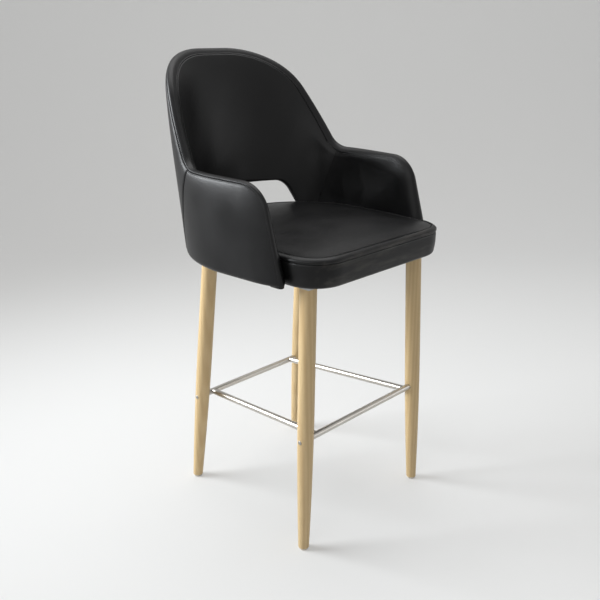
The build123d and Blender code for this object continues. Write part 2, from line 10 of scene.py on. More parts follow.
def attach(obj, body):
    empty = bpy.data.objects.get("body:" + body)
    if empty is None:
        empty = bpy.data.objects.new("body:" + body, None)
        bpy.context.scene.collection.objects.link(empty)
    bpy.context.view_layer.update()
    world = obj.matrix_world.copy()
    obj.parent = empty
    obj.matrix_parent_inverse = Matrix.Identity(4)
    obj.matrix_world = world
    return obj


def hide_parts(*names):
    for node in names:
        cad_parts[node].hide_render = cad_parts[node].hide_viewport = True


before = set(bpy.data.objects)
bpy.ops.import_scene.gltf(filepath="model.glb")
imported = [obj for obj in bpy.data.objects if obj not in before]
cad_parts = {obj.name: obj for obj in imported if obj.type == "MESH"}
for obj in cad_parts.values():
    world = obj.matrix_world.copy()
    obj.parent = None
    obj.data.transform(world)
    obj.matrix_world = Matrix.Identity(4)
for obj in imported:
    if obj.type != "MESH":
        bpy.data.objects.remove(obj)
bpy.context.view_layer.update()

# the tub's wall in plan and how it leans, metres
tub = {
    "halfWidth": 0.271, "depth": 0.282, "widestY": -0.0478, "squareness": 2.15,
    "frontHalfWidth": 0.2625, "frontY": -0.2178, "runIn": 0.080,
    "seamHeight": 0.731, "backLean": 0.158, "sideLean": -0.017, "halfWall": 0.019,
    "bottom": 0.6744,  # foot of the outer covers
    "innerFoot": 0.706,  # foot of the inner covers, behind the seat
    "panEdge": -0.0015,  # the outer covers end at this depth under the pan
    "tongue": 0.091,  # the rim's feet close under the wall back to this run
}


def runAlong(line):
    # length from a line's start to each of its points
    return np.r_[0, np.cumsum(np.linalg.norm(np.diff(line, axis=0), axis=1))]


def between(first, second, share):
    return first + (second - first) * share


def readAt(at, run, values):
    # values that are given along a run, read at other places of it
    return np.stack([np.interp(at, run, values[:, k]) for k in range(values.shape[1])], -1)


def resample(line, shares):
    # the points of a line at shares of its length
    run = runAlong(line)
    return readAt(shares * run[-1], run, line)


def evenLine(line, step=0.002):
    # the same line with points at an even step, and the length up to each
    length = runAlong(line)[-1]
    shares = np.linspace(0, 1, int(round(length / step)) + 1)
    return shares * length, resample(line, shares)


def sideNormals(line, rounds):
    # unit normals across a line, from its smoothed direction
    step = np.gradient(line, axis=0)
    for _ in range(rounds):
        step[1:-1] = (step[:-2] + 2 * step[1:-1] + step[2:]) / 4
    step /= np.linalg.norm(step, axis=1)[:, None]
    return np.stack([-step[:, 1], step[:, 0]], 1)


def wallTable(straightPoints=60, arcPoints=400):
    # right half of the wall's line, then its mirror image
    taper = (tub["halfWidth"] - tub["frontHalfWidth"]) / (tub["widestY"] - tub["frontY"])
    start = np.array([-(tub["frontHalfWidth"] - taper * tub["runIn"]), tub["frontY"] - tub["runIn"]])
    widest = np.array([-tub["halfWidth"], tub["widestY"]])
    share = np.linspace(0, 1, straightPoints, endpoint=False)[:, None]
    straight = between(start, widest, share)
    turn = np.linspace(0, math.pi / 2, arcPoints)
    power = 2 / tub["squareness"]
    arcX = -tub["halfWidth"] * np.cos(turn).clip(0) ** power
    arcY = tub["widestY"] + tub["depth"] * np.sin(turn).clip(0) ** power
    half = np.vstack([straight, np.stack([arcX, arcY], 1)])
    return np.vstack([half, half[-2::-1] * [-1, 1]])


wallRun, wallLine = evenLine(wallTable())
wallLength = wallRun[-1]
wallMiddle = wallLength / 2
wallNormal = sideNormals(wallLine, 4)


def onWall(u, depth, z):
    # a point of the wall from its run u, its depth (outward +) and its height
    u, depth, z = np.broadcast_arrays(np.asarray(u, float), depth, z)
    place, normal = readAt(u, wallRun, wallLine), readAt(u, wallRun, wallNormal)
    lean = between(tub["sideLean"], tub["backLean"], normal[..., 1].clip(0))
    out = depth + (z - tub["seamHeight"]) * lean
    return np.concatenate([place + normal * out[..., None], z[..., None]], -1)


def mirrorRun(points):
    # the same unrolled points on the other side
    other = points.copy()
    other[..., 0] = wallLength - other[..., 0]
    return other


# the middle line of the rounded rim, unrolled: run along the wall against height
rim = {
    "armHeight": 0.900, "armRise": 0.004, "backHeight": 1.165,
    "frontBase": 0.6883, "frontSlope": 3.5,  # the arms' fronts rise from this height
    "armCorner": 0.061, "armToBack": 0.074, "backCorner": 0.200,
    "riseSlope": 1.67, "riseStart": 0.384,
    "seamLift": 0.0135,  # the outer seam lies this far beyond the middle line
    "innerLift": 0.005,  # and the inner pads meet the rim this far beyond it
    "seamFrom": 0.364, "seamLean": 0.36,  # the arm seam's run at the arm's height, and how it falls back
    "acrossSeam": 0.94,  # from a run to the distance across that seam
}


def filletLine(points, radii, arcSteps=40):
    # straight runs joined by arcs
    points = [np.asarray(p, float) for p in points]
    line = [points[0]]
    for before, corner, after, radius in zip(points, points[1:], points[2:], radii):
        a = (before - corner) / np.linalg.norm(before - corner)
        b = (after - corner) / np.linalg.norm(after - corner)
        half = math.acos(np.clip(a @ b, -1, 1)) / 2
        reach = radius / math.tan(half)
        middle = corner + (a + b) / np.linalg.norm(a + b) * radius / math.sin(half)
        first, last = corner + a * reach, corner + b * reach
        angle0 = math.atan2(*(first - middle)[::-1])
        angle1 = math.atan2(*(last - middle)[::-1])
        sweep = (angle1 - angle0 + math.pi) % (2 * math.pi) - math.pi
        for i in range(arcSteps + 1):
            angle = angle0 + sweep * i / arcSteps
            line.append(middle + radius * np.array([math.cos(angle), math.sin(angle)]))
    line.append(points[-1])
    return np.array(line)


def rimTable():
    armMid = rim["armHeight"] - tub["halfWall"]
    backMid = rim["backHeight"] - tub["halfWall"]
    frontTop = armMid - rim["armRise"]
    frontRun = tub["runIn"] + (frontTop - rim["frontBase"]) / rim["frontSlope"]
    footRun = frontRun - (frontTop - tub["bottom"]) / rim["frontSlope"]
    riseRun = rim["riseStart"] + (backMid - armMid) / rim["riseSlope"]
    corners = [(footRun, tub["bottom"]), (frontRun, frontTop), (rim["riseStart"], armMid),
               (riseRun, backMid), (wallMiddle, backMid)]
    half = filletLine(corners, (rim["armCorner"], rim["armToBack"], rim["backCorner"]))
    return np.vstack([half, mirrorRun(half[-2::-1])])


rimRun, rimLine = evenLine(rimTable())
rimLength = rimRun[-1]
rimOut = sideNormals(rimLine, 6)


def atRim(t, lift):
    # runs and heights of points a lift beyond the rim's middle line, at lengths t along it
    return (readAt(t, rimRun, rimLine) + lift * readAt(t, rimRun, rimOut)).T


def rimPoints(lift, length, count):
    # run, height and length of points along the rim
    t = np.linspace(0, length, count)
    return np.column_stack([*atRim(t, lift), t])


def rimDistance(u, z, chunk=4000):
    # how far inside the rim's middle line unrolled points lie, and where along it
    flat = np.stack([np.ravel(u), np.ravel(z)], 1)
    inside, along = np.empty(len(flat)), np.empty(len(flat))
    for i in range(0, len(flat), chunk):
        away = flat[i:i + chunk, None] - rimLine[None]
        nearest = np.argmin((away ** 2).sum(2), 1)
        pick = away[np.arange(len(away)), nearest]
        inside[i:i + chunk] = -(pick * rimOut[nearest]).sum(1)
        along[i:i + chunk] = rimRun[nearest]
    return inside.reshape(np.shape(u)), along.reshape(np.shape(u))


def smoothStep(value, low, high):
    t = np.clip((value - low) / (high - low), 0, 1)
    return t * t * (3 - 2 * t)


# how thick the padded wall is: full below, rounded over at the rim
padding = {
    "shoulder": 0.030,  # the rounding starts this far below the rim's middle line
    "shoulderPower": 4.0, "shoulderRound": 4.4,
    "tiltFrom": 0.034, "tilt": 0.0030,  # the outer cover leans in from here up to its seam
    "frontFrom": 0.050, "frontTilt": 0.0085,  # and more so down the arms' fronts
    "tiltPower": 1.7, "tiltLimit": 1.4,
    "frontToTop": (0.175, 0.275),  # lengths from an arm's foot where its front becomes its top
    "topToBack": (0.44, 0.60),  # and its top the back
    # the inner face's soft bevel: lengths from an arm's foot, and how far below the rim it starts there
    "bevel": ((0.02, -0.004), (0.22, 0.026), (0.27, 0.026), (0.36, 0.010), (0.47, 0.010), (0.56, 0.046)),
    "bevelBlend": 0.03, "bevelPower": 1.45, "bevelPowerOnBack": 2.1, "bevelRound": 1.9,
    "innerSwell": 0.0025, "innerSwellSpan": 0.09, "outerSwell": 0.0012, "outerSwellSpan": 0.06,
    "bottomRound": 0.012,
    "slotRound": 0.011,  # the pads roll into the opening
    "crease": 0.0030, "creaseWidth": 0.022,  # valley where an arm pad runs into the back pad
    "uneven": 0.0005, "unevenFrom": 0.03,  # slow unevenness of the inner pads
}


def fromFoot(along):
    # length along the rim from the nearer arm's foot
    return np.minimum(along, rimLength - along)


def frontness(along):
    # 1 down the arms' fronts, 0 along their tops and the back
    return 1 - smoothStep(fromFoot(along), *padding["frontToTop"])


def roundedOver(t, power, roundness):
    # depth of half the wall as it rounds over: full at 0, none at 1
    return tub["halfWall"] * (1 - t ** power).clip(0) ** (1 / roundness)


def edgeRound(away, size):
    # how far a rounded edge has drawn back at a distance from its end
    return size * (1 - np.sqrt(1 - np.clip(1 - away / size, 0, 1) ** 2))


def shoulderDepth(inside, along):
    # depth of the outer cover and the rim's outer half at a distance inside the rim's middle line
    t = np.clip((padding["shoulder"] - inside) / (padding["shoulder"] + tub["halfWall"]), 0, 1)
    depth = roundedOver(t, padding["shoulderPower"], padding["shoulderRound"])
    front = frontness(along)
    tiltFrom = between(padding["tiltFrom"], padding["frontFrom"], front)
    tilt = between(padding["tilt"], padding["frontTilt"], front)
    share = np.clip((tiltFrom - inside) / (tiltFrom + rim["seamLift"]), 0, padding["tiltLimit"])
    return depth - tilt * share ** padding["tiltPower"] * depth / tub["halfWall"]


def bevelDepth(inside, along):
    # depth of the rim's inner half and the bevel under it
    reach = fromFoot(along)
    stops, sizes = zip(*padding["bevel"])
    shifts = np.linspace(-padding["bevelBlend"], padding["bevelBlend"], 7)
    bevel = np.mean([np.interp(reach + shift, stops, sizes) for shift in shifts], 0)
    t = np.clip((bevel - inside) / (bevel + tub["halfWall"]), 0, 1)
    onBack = smoothStep(reach, *padding["topToBack"])
    return roundedOver(t, between(padding["bevelPower"], padding["bevelPowerOnBack"], onBack),
                       padding["bevelRound"])


def outerDepth(z, inside, along):
    swell = padding["outerSwell"] * smoothStep(inside, 0.0, padding["outerSwellSpan"])
    return shoulderDepth(inside, along) + swell - edgeRound(z - tub["bottom"], padding["bottomRound"])


def addNode(tree, kind, values=None, **links):
    # a shader node with its sockets set from values and its inputs linked by name
    node = tree.nodes.new("ShaderNode" + kind)
    for key, value in (values or {}).items():
        if key in node.inputs:
            node.inputs[key].default_value = value
        else:
            setattr(node, key, value)
    for key, source in links.items():
        tree.links.new(source, node.inputs[key])
    return node


def newMaterial(name):
    material = bpy.data.materials.new(name)
    material.use_nodes = True
    tree = material.node_tree
    tree.nodes.clear()
    shader = addNode(tree, "BsdfPrincipled")
    addNode(tree, "OutputMaterial", Surface=shader.outputs["BSDF"])
    return tree, shader


def feed(tree, sockets, values):
    # link sockets in turn, or set them to numbers or colours
    for socket, value in zip(sockets, values):
        if isinstance(value, bpy.types.NodeSocket):
            tree.links.new(value, socket)
        else:
            socket.default_value = value if isinstance(value, (int, float)) else (*value, 1)


def setSurface(tree, shader, colour, roughness, normal):
    feed(tree, [shader.inputs[key] for key in ("Base Color", "Roughness", "Normal")],
         (colour, roughness, normal))


def mixColours(tree, factor, first, second, how="MIX"):
    node = addNode(tree, "Mix", {"data_type": "RGBA", "blend_type": how})
    feed(tree, (node.inputs["Factor"], node.inputs[6], node.inputs[7]), (factor, first, second))
    return node.outputs[2]


def mixShaders(tree, factor, first, second):
    node = addNode(tree, "MixShader")
    feed(tree, node.inputs, (factor, first, second))
    return node.outputs[0]


def maths(tree, operation, first, second):
    node = addNode(tree, "Math", {"operation": operation})
    feed(tree, node.inputs, (first, second))
    return node.outputs[0]


def ramp(tree, source, *stops):
    node = addNode(tree, "ValToRGB", Fac=source)
    for element, (place, value) in zip(node.color_ramp.elements, stops):
        element.position = place
        element.color = (value, value, value, 1)
    return node.outputs["Color"]


def stretched(tree, scale=(1, 1, 1), turn=(0, 0, 0), shift=(0, 0, 0)):
    place = addNode(tree, "TexCoord").outputs["Object"]
    values = {"Scale": scale, "Rotation": turn, "Location": shift}
    return addNode(tree, "Mapping", values, Vector=place).outputs["Vector"]


def noise(tree, where, scale, detail, roughness=0.5, distortion=0.0):
    values = {"Scale": scale, "Detail": detail, "Roughness": roughness, "Distortion": distortion}
    return addNode(tree, "TexNoise", values, Vector=where).outputs["Fac"]


def bump(tree, height, strength, distance, **under):
    values = {"Strength": strength, "Distance": distance}
    return addNode(tree, "Bump", values, Height=height, **under).outputs["Normal"]


# black cover hide: fine pebble grain, faint creases, a soft shine, and a painted highlight in streaks along
# the seat's front roll
hide = {
    "colour": (0.0038, 0.0038, 0.0041), "worn": (0.0062, 0.0062, 0.0065),
    "roughness": (0.35, 0.46), "shine": 0.27,
    "grainSize": 900.0, "grainDepth": 0.00012, "creaseDepth": 0.0005,
    # lighter warm colour painted as a highlight on the seat's front roll
    "paintedSheenColour": (0.030, 0.028, 0.025),
    "paintedSheenFrom": -0.292, "paintedSheenTo": -0.309,  # y at which the painted highlight starts, and at which it is full
}


def paintedSheenFront(tree, where):
    # 1 in streaks along the seat's front roll, where a painted highlight lightens the hide
    axes = addNode(tree, "SeparateXYZ", Vector=where)
    values = {"From Min": hide["paintedSheenFrom"], "From Max": hide["paintedSheenTo"]}
    front = addNode(tree, "MapRange", values, Value=axes.outputs["Y"])
    streaks = noise(tree, stretched(tree, (0.35, 2.0, 2.0)), scale=30.0, detail=4.0, roughness=0.6)
    return maths(tree, "MULTIPLY", front.outputs["Result"], ramp(tree, streaks, (0.48, 0.0), (0.66, 1.0)))


def makeHide(name, paintedSheen=False):
    tree, shader = newMaterial(name)
    where = stretched(tree)
    values = {"Scale": hide["grainSize"], "feature": "SMOOTH_F1", "Smoothness": 0.35}
    grain = addNode(tree, "TexVoronoi", values, Vector=where).outputs["Distance"]
    pores = noise(tree, where, scale=2600.0, detail=3.0)
    cloud = noise(tree, where, scale=9.0, detail=4.0, roughness=0.55)
    creases = noise(tree, where, scale=38.0, detail=5.0, roughness=0.6, distortion=0.8)
    tone = mixColours(tree, ramp(tree, cloud, (0.40, 0.0), (0.72, 1.0)), hide["colour"], hide["worn"])
    # painted highlight: lighter warm streaks along the seat's front roll
    if paintedSheen:
        tone = mixColours(tree, paintedSheenFront(tree, where), tone, hide["paintedSheenColour"])
    tone = mixColours(tree, 1.0, tone, ramp(tree, grain, (0.0, 0.86), (0.55, 1.0)), "MULTIPLY")
    low, high = hide["roughness"]
    values = {"From Min": 0.3, "From Max": 0.7, "To Min": low, "To Max": high}
    rough = addNode(tree, "MapRange", values, Value=cloud)
    shader.inputs["Specular IOR Level"].default_value = hide["shine"]
    normal = bump(tree, grain, 0.55, hide["grainDepth"])
    normal = bump(tree, pores, 0.35, hide["grainDepth"] / 3, Normal=normal)
    normal = bump(tree, creases, 0.35, hide["creaseDepth"], Normal=normal)
    setSurface(tree, shader, tone, rough.outputs["Result"], normal)


# light beech with a clear satin lacquer
beech = {
    "light": (0.61, 0.450, 0.235), "dark": (0.53, 0.370, 0.180), "fleck": (0.40, 0.26, 0.125),
    "roughness": 0.44, "lacquer": 0.10, "lacquerRoughness": 0.22,
}


def makeBeech(name, turn, shift):
    tree, shader = newMaterial(name)
    where = stretched(tree, (1, 1, 0.035), turn, shift)
    patches = noise(tree, where, scale=22.0, detail=3.0)
    fibre = noise(tree, where, scale=650.0, detail=4.0, roughness=0.65)
    values = {"Scale": 34.0, "Distortion": 3.2, "Detail": 3.0, "Detail Scale": 1.6, "bands_direction": "X"}
    rings = addNode(tree, "TexWave", values, Vector=where)
    flecks = addNode(tree, "TexVoronoi", {"Scale": 420.0}, Vector=stretched(tree, (1, 1, 0.16), turn))
    tone = mixColours(tree, ramp(tree, rings.outputs["Color"], (0.15, 0.0), (0.9, 0.75)),
                      beech["light"], beech["dark"])
    tone = mixColours(tree, 1.0, tone, ramp(tree, patches, (0.35, 0.90), (0.70, 1.06)), "MULTIPLY")
    tone = mixColours(tree, ramp(tree, fibre, (0.42, 0.0), (0.66, 0.30)), tone, beech["dark"])
    tone = mixColours(tree, ramp(tree, flecks.outputs["Distance"], (0.05, 0.55), (0.16, 0.0)),
                      tone, beech["fleck"])
    rough = ramp(tree, fibre, (0.3, beech["roughness"]), (0.7, beech["roughness"] + 0.10))
    shader.inputs["Coat Weight"].default_value = beech["lacquer"]
    shader.inputs["Coat Roughness"].default_value = beech["lacquerRoughness"]
    setSurface(tree, shader, tone, rough, bump(tree, fibre, 0.25, 0.0002))


def makeMetal(name, colour, roughness, brushAlong=(1, 1, 1)):
    # brushed and slightly smeared
    tree, shader = newMaterial(name)
    brush = noise(tree, stretched(tree, brushAlong), scale=900.0, detail=4.0, roughness=0.7)
    smear = noise(tree, stretched(tree), scale=14.0, detail=3.0)
    tone = mixColours(tree, ramp(tree, smear, (0.35, 0.0), (0.7, 1.0)), colour, [c * 0.88 for c in colour])
    tone = mixColours(tree, ramp(tree, brush, (0.35, 0.0), (0.7, 0.35)), tone, [c * 0.75 for c in colour])
    rough = ramp(tree, brush, (0.3, roughness - 0.06), (0.7, roughness + 0.08))
    shader.inputs["Metallic"].default_value = 1.0
    setSurface(tree, shader, tone, rough, bump(tree, brush, 0.3, 0.00004))


def makePlain(name, first, second, roughness, scale, depth):
    # a matt material with two tones and a fine uneven surface
    tree, shader = newMaterial(name)
    grain = noise(tree, stretched(tree), scale=scale, detail=5.0, roughness=0.6)
    tone = mixColours(tree, ramp(tree, grain, (0.35, 0.0), (0.68, 1.0)), first, second)
    rough = ramp(tree, grain, (0.3, roughness - 0.05), (0.7, roughness + 0.05))
    setSurface(tree, shader, tone, rough, bump(tree, grain, 0.4, depth))


def makePlywood(name, pale, deep, glue):
    # two tones of grain on the faces, and thin dark glue lines where the edge shows
    tree, shader = newMaterial(name)
    values = {"Scale": 130.0, "Distortion": 0.25, "Detail": 1.0, "bands_direction": "Z"}
    layers = addNode(tree, "TexWave", values, Vector=stretched(tree))
    grain = noise(tree, stretched(tree, (0.08, 1, 1)), scale=160.0, detail=5.0, roughness=0.6)
    tone = mixColours(tree, ramp(tree, grain, (0.38, 0.0), (0.66, 1.0)), pale, deep)
    tone = mixColours(tree, ramp(tree, layers.outputs["Color"], (0.05, 0.6), (0.35, 0.0)), tone, glue)
    setSurface(tree, shader, tone, ramp(tree, grain, (0.3, 0.6), (0.7, 0.75)), bump(tree, grain, 0.3, 0.0003))


makeHide("coverHide")
# the seat's hide gets the painted highlight streaks on its front roll
makeHide("seatHide", paintedSheen=True)
steel = (0.60, 0.575, 0.53)
makeMetal("satinSteel", steel, 0.31, brushAlong=(0.05, 1, 1))
makeMetal("satinSteelSide", steel, 0.31, brushAlong=(1, 0.05, 1))
makeMetal("screwHeads", (0.40, 0.39, 0.37), 0.38)
makeMetal("zincPlate", (0.46, 0.46, 0.47), 0.42)
makePlywood("rawPlywood", (0.56, 0.42, 0.26), (0.44, 0.31, 0.17), (0.25, 0.16, 0.08))
makePlywood("stainedPlywood", (0.020, 0.018, 0.016), (0.012, 0.011, 0.010), (0.006, 0.006, 0.006))
plains = {  # two tones, roughness, grain size and depth
    "sewingThread": ((0.016, 0.016, 0.017), (0.026, 0.026, 0.027), 0.55, 2400.0, 0.0002),
    "cutFoam": ((0.62, 0.56, 0.40), (0.52, 0.46, 0.31), 0.9, 700.0, 0.0008),
    "bottomCloth": ((0.016, 0.016, 0.017), (0.030, 0.030, 0.031), 0.92, 1500.0, 0.0004),
    "glideNylon": ((0.62, 0.58, 0.50), (0.55, 0.51, 0.43), 0.5, 320.0, 0.0002),
}
for name, values in plains.items():
    makePlain(name, *values)
print("materials made")


def dress(materialName, *nodeNames):
    for nodeName in nodeNames:
        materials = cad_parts[nodeName].data.materials
        materials.clear()
        materials.append(bpy.data.materials[materialName])


for index, corner in enumerate(("front_right", "front_left", "rear_right", "rear_left")):
    # each leg is cut from another place of the board
    turn = (0.02 * index - 0.03, 0.03 - 0.015 * index, 0.9 * index)
    makeBeech(f"beech_{corner}", turn, (0.13 * index, 0.31 * index, 0.07 * index))
    dress(f"beech_{corner}", f"leg_{corner}")
    dress("glideNylon", f"glide_{corner}")
    dress("zincPlate", f"leg_plate_{corner}")
dress("zincPlate", "bracket_screws", "shell_brackets", "leg_plate_screws", "hanger_bolts",
      "footrest_plugs", "glide_nails")
dress("screwHeads", "footrest_screws")
dress("satinSteel", "footrest_front_tube", "footrest_rear_tube")
dress("satinSteelSide", "footrest_side_tube_right", "footrest_side_tube_left")
dress("rawPlywood", "tub_shell")
dress("stainedPlywood", "seat_pan")
dress("bottomCloth", "dust_cover")
dress("cutFoam", "seat_foam")
print("frame parts dressed")


def meshObject(name, points, faces, material):
    mesh = bpy.data.meshes.new(name)
    mesh.from_pydata([tuple(p) for p in points], [], faces)
    mesh.validate()
    mesh.polygons.foreach_set("use_smooth", [True] * len(mesh.polygons))
    mesh.materials.append(bpy.data.materials[material])
    made = bpy.data.objects.new(name, mesh)
    bpy.context.collection.objects.link(made)
    return made


def sewnPiece(name, points, faces, material):
    piece = meshObject(name, points, faces, material)
    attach(piece, "root")
    return piece


def sheetFaces(rows, columns, turned=False, closed=False, start=0):
    # quads of a grid of points; closed joins the last row to the first
    faces = []
    for i in range(rows if closed else rows - 1):
        for j in range(columns - 1):
            a = start + i * columns + j
            b = start + (i + 1) % rows * columns + j
            quad = (a, b, b + 1, a + 1)
            faces.append(quad[::-1] if turned else quad)
    return faces


# how finely the covers are made, and how thick they are
covers = {
    "seamPoints": 54, "armPoints": 70, "backPoints": 210, "footPoints": 24, "backRings": 44,
    "foldPoints": 120, "foldGap": 0.002, "sewWithin": 0.0003, "thickness": 0.0016,
    "heldLip": 0.006, "heldFoot": 0.004,  # held this far from the opening and from the foot
}


def thicken(piece, thickness=covers["thickness"], offset=-1.0):
    wall = piece.modifiers.new("thickness", "SOLIDIFY")
    wall.thickness = thickness
    wall.offset = offset
    wall.use_rim = True


# the padded covers are blown up as cloth held along their seams
stuffing = {
    "frames": 20,
    "easeIn": 0.045,  # the swelling grows over this way from the nearest seam
    "cloth": {"quality": 5, "mass": 0.25, "tension_stiffness": 22.0, "compression_stiffness": 22.0,
              "shear_stiffness": 10.0, "bending_stiffness": 6.0},
    "inside": {"pressure": 1.2, "slack": 0.0, "most": 0.0011},
    "seat": {"pressure": 4.0, "slack": 0.003, "most": 0.0040},
}
waiting = []


def sewnCloth(piece, held, pressure, slack, most):
    # held points are the seams, slack lets a cover crease a little, most caps each point's way
    group = piece.vertex_groups.new(name="sewn")
    group.add([int(i) for i in held], 1.0, "REPLACE")
    cloth = piece.modifiers.new("cloth", "CLOTH")
    values = {"vertex_group_mass": "sewn", "use_pressure": True, "uniform_pressure_force": pressure,
              "shrink_min": -slack}
    for key, value in {**stuffing["cloth"], **values}.items():
        setattr(cloth.settings, key, value)
    cloth.settings.effector_weights.gravity = 0
    cloth.collision_settings.use_collision = False
    waiting.append((piece, held, most))


def swell(piece, held, most, graph):
    # move a cover's points as its cloth moved, capped and eased in from the seams
    count = len(piece.data.vertices)
    before, after = np.empty(count * 3), np.empty(count * 3)
    piece.data.vertices.foreach_get("co", before)
    piece.evaluated_get(graph).data.vertices.foreach_get("co", after)
    way = (after - before).reshape(-1, 3)
    size = np.linalg.norm(way, axis=1)[:, None] + 1e-9
    seams = KDTree(len(held))
    for k, place in enumerate(before.reshape(-1, 3)[held]):
        seams.insert(place, k)
    seams.balance()
    away = np.array([seams.find(place)[2] for place in before.reshape(-1, 3)])
    way *= smoothStep(away, 0.0, stuffing["easeIn"])[:, None] * np.tanh(size / most) * most / size
    print(f"{piece.name} swelled up to {1000 * np.linalg.norm(way, axis=1).max():.1f} mm")
    piece.data.vertices.foreach_set("co", before + way.ravel())
    piece.data.update()


def settleCloth():
    # one run for all waiting covers, then plain meshes again
    for number in range(1, stuffing["frames"] + 1):
        bpy.context.scene.frame_set(number)
    graph = bpy.context.evaluated_depsgraph_get()
    for piece, held, most in waiting:
        swell(piece, held, most, graph)
        piece.modifiers.remove(piece.modifiers["cloth"])
        thicken(piece)
    bpy.context.scene.frame_set(1)
    waiting.clear()


def graded(count, fine=0.6):
    # shares from 0 to 1, closer together towards both ends
    even = np.linspace(0, 1, count)
    return between(even, (1 - np.cos(math.pi * even)) / 2, fine)


def patch(bottom, top, left, right, s, t):
    # grid spanned between four edges, with its points at shares s and t
    s, t = s[:, None, None], t[None, :, None]
    bottom, top = bottom[:, None], top[:, None]
    ruled = bottom * (1 - t) + top * t + left[None] * (1 - s) + right[None] * s
    corners = (bottom[:1] * (1 - s) * (1 - t) + bottom[-1:] * s * (1 - t)
               + top[:1] * (1 - s) * t + top[-1:] * s * t)
    return ruled - corners


def seamRun(z):
    # run of the seam between arm and back covers at a height, right side
    return rim["seamFrom"] + (rim["armHeight"] - z) * rim["seamLean"]


def seamLine(low, high):
    # points up that seam between two heights
    z = between(low, high, graded(covers["seamPoints"]))
    return np.stack([seamRun(z), z], 1)


def seamMeeting(before, after):
    # where that seam crosses a short step of the rim line
    near, far = before[0] - seamRun(before[1]), after[0] - seamRun(after[1])
    return before + (after - before) * near / (near - far)


def seamDistance(u, z):
    return np.minimum(np.abs(u - seamRun(z)), np.abs(wallLength - u - seamRun(z))) * rim["acrossSeam"]


def tuck(distance, width=0.0022, depth=0.0016):
    # how far a cover dips into the seam at its edge
    return depth * np.exp(-(distance / width) ** 2)


def coverEnds(outer):
    # how far a cover runs beyond the rim's middle line, and the height of its foot
    return (rim["seamLift"], tub["bottom"]) if outer else (rim["innerLift"], tub["innerFoot"])


def armEdges(lift, bottomZ):
    # edges of the right arm cover: left and top keep their lengths along the rim, right is the seam
    line = rimPoints(lift, rimLength / 2, 1600)
    line = line[line[:, 1] >= bottomZ]
    cornerAt = int(np.argmax(line[:, 1] - line[:, 0]))
    end = int(np.argmax(line[:, 0] > seamRun(line[:, 1])))
    line[end] = seamMeeting(line[end - 1], line[end])
    left = resample(line[:cornerAt + 1], graded(covers["seamPoints"]))
    top = resample(line[cornerAt:end + 1], graded(covers["armPoints"]))
    right = seamLine(bottomZ, top[-1, 1])
    bottom = between(left[0, :2], right[0], graded(covers["armPoints"])[:, None])
    return bottom, top, left, right


def backEdges(lift, bottomZ):
    # outline of a back cover from the middle of its foot, and its top points' lengths along the rim
    line = rimPoints(lift, rimLength, 3000)
    u, z = line[:, 0], line[:, 1]
    onBack = (u > seamRun(z)) & (wallLength - u > seamRun(z))
    first, last = np.flatnonzero(onBack)[[0, -1]]
    meeting = seamMeeting(line[first - 1], line[first])
    other = mirrorRun(meeting)
    other[2] = rimLength - other[2]
    top = np.vstack([other, line[first:last + 1][::-1], meeting])
    top = resample(top, np.linspace(0, 1, covers["backPoints"], endpoint=False))
    rightSide = seamLine(bottomZ, meeting[1])
    leftSide = mirrorRun(rightSide)
    foot = np.linspace((wallMiddle, bottomZ), leftSide[0], covers["footPoints"], endpoint=False)
    outline = [foot, leftSide[:-1], top[:, :2], rightSide[::-1], mirrorRun(foot)[:0:-1]]
    return np.vstack(outline), top[:, 2]


# the arched opening low in the back, its ends cut square to the wall
opening = {
    "sill": 0.720, "head": 0.805, "middle": 0.762, "footHalf": 0.203, "headHalf": 0.141,
    "widthsY": 0.1702,  # its half widths are measured at this y
    "flare": 0.85, "radii": (0.009, 0.070, 0.070, 0.009),  # of the corners foot, head, head, foot
    "flatHalf": 0.100,  # points this near the middle are spread evenly
    "border": 0.0006, "hollow": 0.0008, "widestRun": 0.32,
    "stripThickness": 0.0012,
}


def openingRun(reach, depth, z):
    # runs along the back at which the opening's flared ends have this reach, one for each
    u = np.linspace(wallMiddle, wallMiddle + opening["widestRun"], 400)
    wallPoint = onWall(u[:, None], depth, z[None])
    across = wallPoint[..., 0] - opening["flare"] * (wallPoint[..., 1] - opening["widthsY"])
    near = np.abs(reach) / opening["flatHalf"]
    wanted = np.where(near < 1, between(across[0], opening["flatHalf"], near), np.abs(reach))
    run = np.array([np.interp(wanted[i], across[:, i], u) for i in range(len(reach))])
    return np.where(reach < 0, wallLength - run, run)


def openingOutline(count=160):
    inset = opening["border"]
    foot, head = opening["footHalf"] - inset, opening["headHalf"] - inset
    sill, top = opening["sill"] + inset, opening["head"] - inset
    corners = [(0, sill), (foot, sill), (head, top), (-head, top), (-foot, sill), (0, sill)]
    line = filletLine(corners, opening["radii"], arcSteps=14)
    return resample(line, np.linspace(0, 1, count, endpoint=False))


slotLine = openingOutline()
slotLip = tub["halfWall"] - padding["slotRound"]  # depth of the opening's strip to both sides


def coverDepth(outer, u, z):
    # depth of a cover with its dips along the seams, and how far inside the rim each point lies
    inside, along = rimDistance(u, z)
    if outer:
        dips = tuck(seamDistance(u, z)) + tuck(inside + rim["seamLift"]) * (1 - frontness(along))
        return outerDepth(z, inside, along) - dips, inside
    swell = padding["innerSwell"] * smoothStep(inside, 0.0, padding["innerSwellSpan"])
    crease = tuck(seamDistance(u, z), padding["creaseWidth"], padding["crease"])
    return crease - bevelDepth(inside, along) - swell, inside


def coverPoints(outer, u, z, depth, inside):
    # the inner pads are slightly uneven, but not at the rim
    if not outer:
        waves = np.sin(31 * u + 9 * z) * np.sin(23 * z + 4) + 0.6 * np.sin(57 * u - 33 * z + 1.3)
        depth = depth + padding["uneven"] * waves * smoothStep(inside, 0.0, padding["unevenFrom"])
    return onWall(u, depth, z)


def foldDepths():
    # an outer cover turns under the pan: from its edge there out to the cover's rounded foot
    return np.linspace(tub["panEdge"], tub["halfWall"] - padding["bottomRound"], 4)


